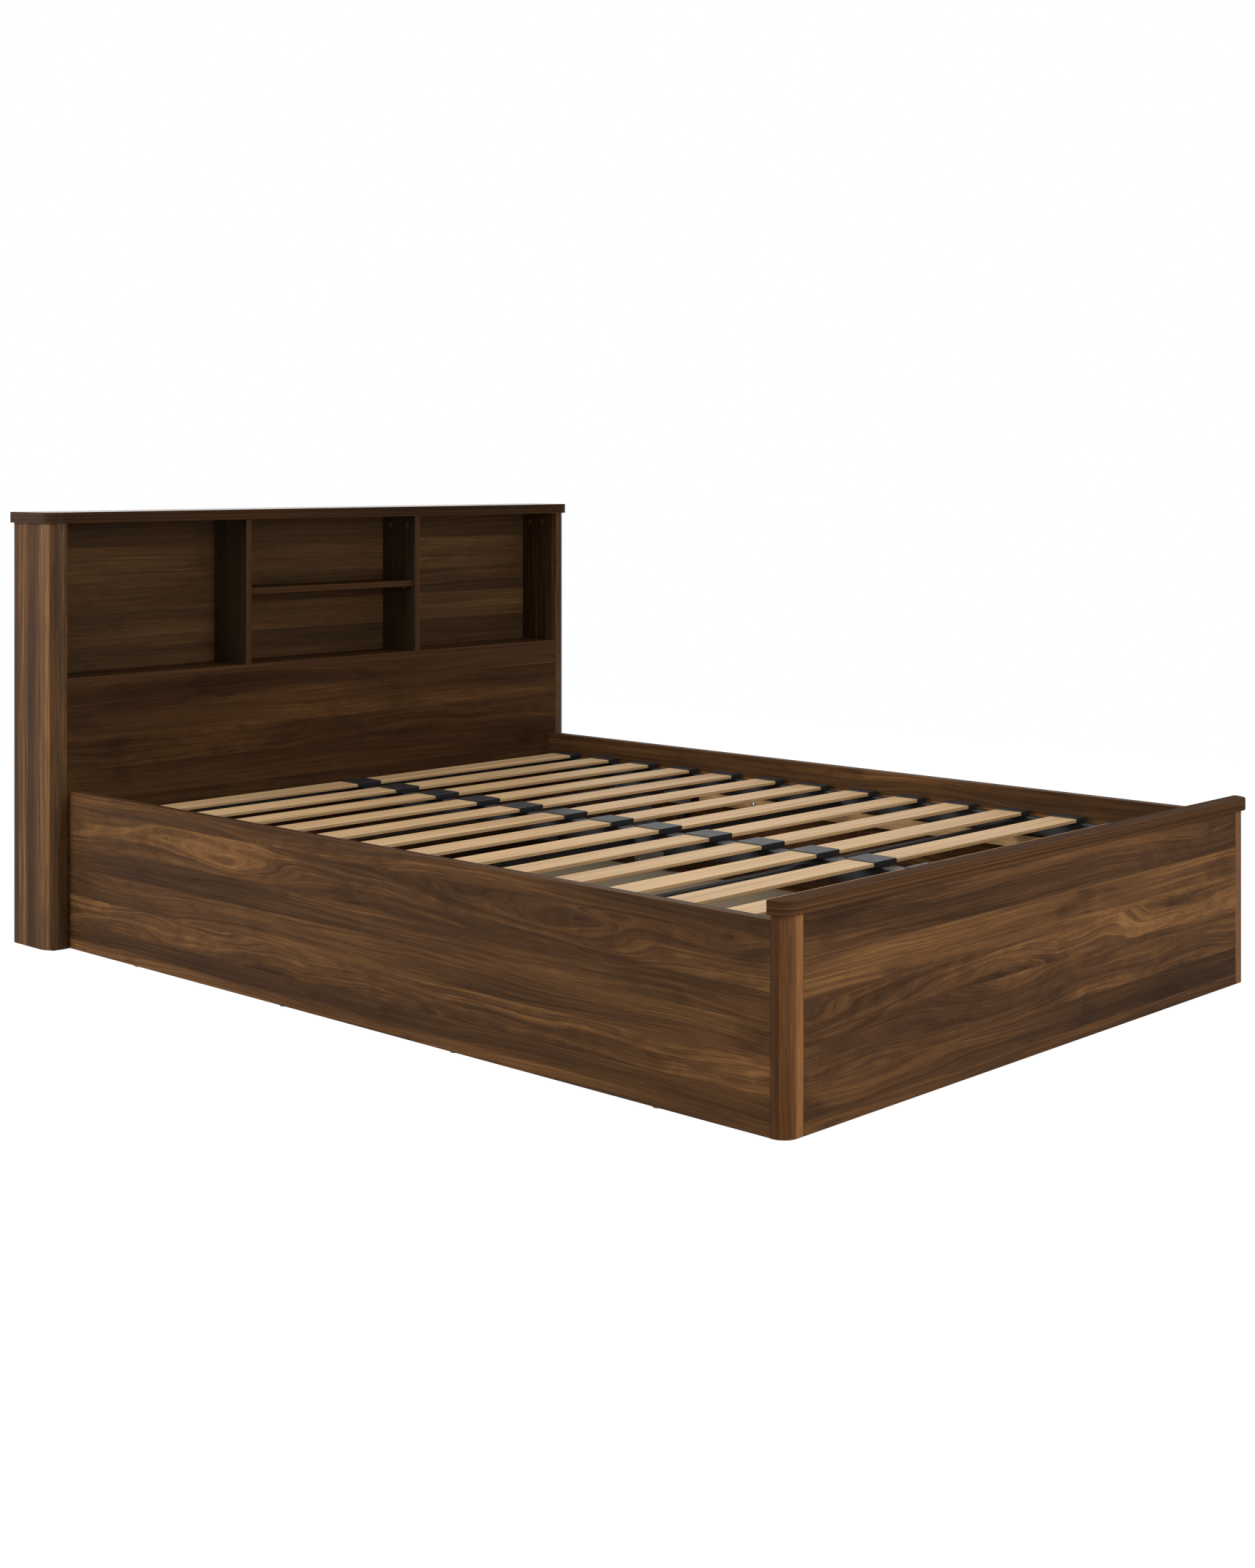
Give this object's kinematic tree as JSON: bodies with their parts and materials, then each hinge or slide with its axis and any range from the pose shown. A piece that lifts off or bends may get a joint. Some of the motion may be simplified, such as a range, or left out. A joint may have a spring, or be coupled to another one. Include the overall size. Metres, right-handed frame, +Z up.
{
  "type": "storage bed frame",
  "caption": "Storage bed frame with a bookcase headboard, full-height side rails, a capped footboard and a slatted deck that lifts on gas struts.",
  "frame": {"origin": "middle of the footprint, on the floor", "axes": "+Z up, +Y towards the headboard, +X to the right seen from the foot"},
  "size_m": [1.708, 2.225, 0.997],
  "materials": {
    "walnut_board": "satin walnut-grain melamine on board",
    "pine_batten": "planed softwood",
    "birch_slat": "smooth laminated birch",
    "floor_board": "pale grey melamine board",
    "frame_steel": "fine black powder coat",
    "zinc_steel": "zinc plated",
    "black_plastic": "fine grained moulding",
    "brown_plastic": "smooth moulding",
    "bumper_rubber": "matt",
    "strap_webbing": "woven webbing",
    "strut_black": "gloss black paint",
    "strut_chrome": "polished"
  },
  "bodies": {
    "base": {"head_top_board": "walnut_board", "head_post_left": "walnut_board", "head_post_right": "walnut_board", "head_side_left": "walnut_board", "head_side_right": "walnut_board", "head_divider_left": "walnut_board", "head_divider_right": "walnut_board", "head_mid_shelf": "walnut_board", "shelf_pins": "zinc_steel", "head_compartment_floor": "walnut_board", "head_front_panel": "walnut_board", "head_back_panel": "walnut_board", "head_bottom_board": "walnut_board", "head_stiffeners": "walnut_board", "cam_locks": "zinc_steel", "cam_covers": "brown_plastic", "side_rail_left": "walnut_board", "side_rail_right": "walnut_board", "foot_panel": "walnut_board", "foot_post_left": "walnut_board", "foot_post_right": "walnut_board", "foot_cap": "walnut_board", "side_ledger_left": "pine_batten", "side_ledger_right": "pine_batten", "foot_ledger": "pine_batten", "floor_cleats": "pine_batten", "centre_floor_beam": "pine_batten", "floor_panels": "floor_board", "corner_brackets": "zinc_steel", "bracket_screws": "zinc_steel", "ledger_screws": "zinc_steel", "glide_feet": "black_plastic", "rest_bumpers": "bumper_rubber", "lift_plate_left": "zinc_steel", "lift_plate_right": "zinc_steel", "lift_plate_bolts": "zinc_steel", "pivot_pin_left": "zinc_steel", "pivot_pin_right": "zinc_steel", "strut_stud_left": "zinc_steel", "strut_stud_right": "zinc_steel"},
    "deck": {"deck_side_tube_left": "frame_steel", "deck_side_tube_right": "frame_steel", "deck_head_tube": "frame_steel", "deck_foot_tube": "frame_steel", "deck_centre_tube": "frame_steel", "deck_cross_bars": "frame_steel", "tube_end_plugs": "black_plastic", "slats_left": "birch_slat", "slats_right": "birch_slat", "slat_holders": "black_plastic", "lift_arm_left": "zinc_steel", "lift_arm_right": "zinc_steel", "mattress_stops": "frame_steel", "pull_strap": "strap_webbing", "strap_screws": "zinc_steel"},
    "left_cylinder": {"strut_cylinder_left": "strut_black"},
    "left_rod": {"strut_rod_left": "strut_chrome"},
    "right_cylinder": {"strut_cylinder_right": "strut_black"},
    "right_rod": {"strut_rod_right": "strut_chrome"}
  },
  "joints": [
    {"name": "deck_lift", "type": "hinge", "parent": "base", "child": "deck", "pos_m": [0, 0.6815, 0.24], "axis": [-1, 0, 0], "range_deg": [0, 40]},
    {"name": "left_strut_swing", "type": "hinge", "parent": "base", "child": "left_cylinder", "pos_m": [-0.7505, 0.5208, 0.04849], "axis": [-1, 0, 0], "range_deg": [0, 20.01]},
    {"name": "left_strut_slide", "type": "slide", "parent": "left_cylinder", "child": "left_rod", "axis": [0, -0.4226, 0.9063], "range_m": [0, 0.1423]},
    {"name": "right_strut_swing", "type": "hinge", "parent": "base", "child": "right_cylinder", "pos_m": [0.7505, 0.5208, 0.04849], "axis": [-1, 0, 0], "range_deg": [0, 20.01]},
    {"name": "right_strut_slide", "type": "slide", "parent": "right_cylinder", "child": "right_rod", "axis": [0, -0.4226, 0.9063], "range_m": [0, 0.1423]}
  ],
  "couplings": [
    {"joint": "left_strut_swing", "follows": "deck_lift", "ratio": 0.5},
    {"joint": "left_strut_slide", "follows": "deck_lift", "m_per_rad": 0.20375},
    {"joint": "right_strut_swing", "follows": "deck_lift", "ratio": 0.5},
    {"joint": "right_strut_slide", "follows": "deck_lift", "m_per_rad": 0.20375}
  ]
}
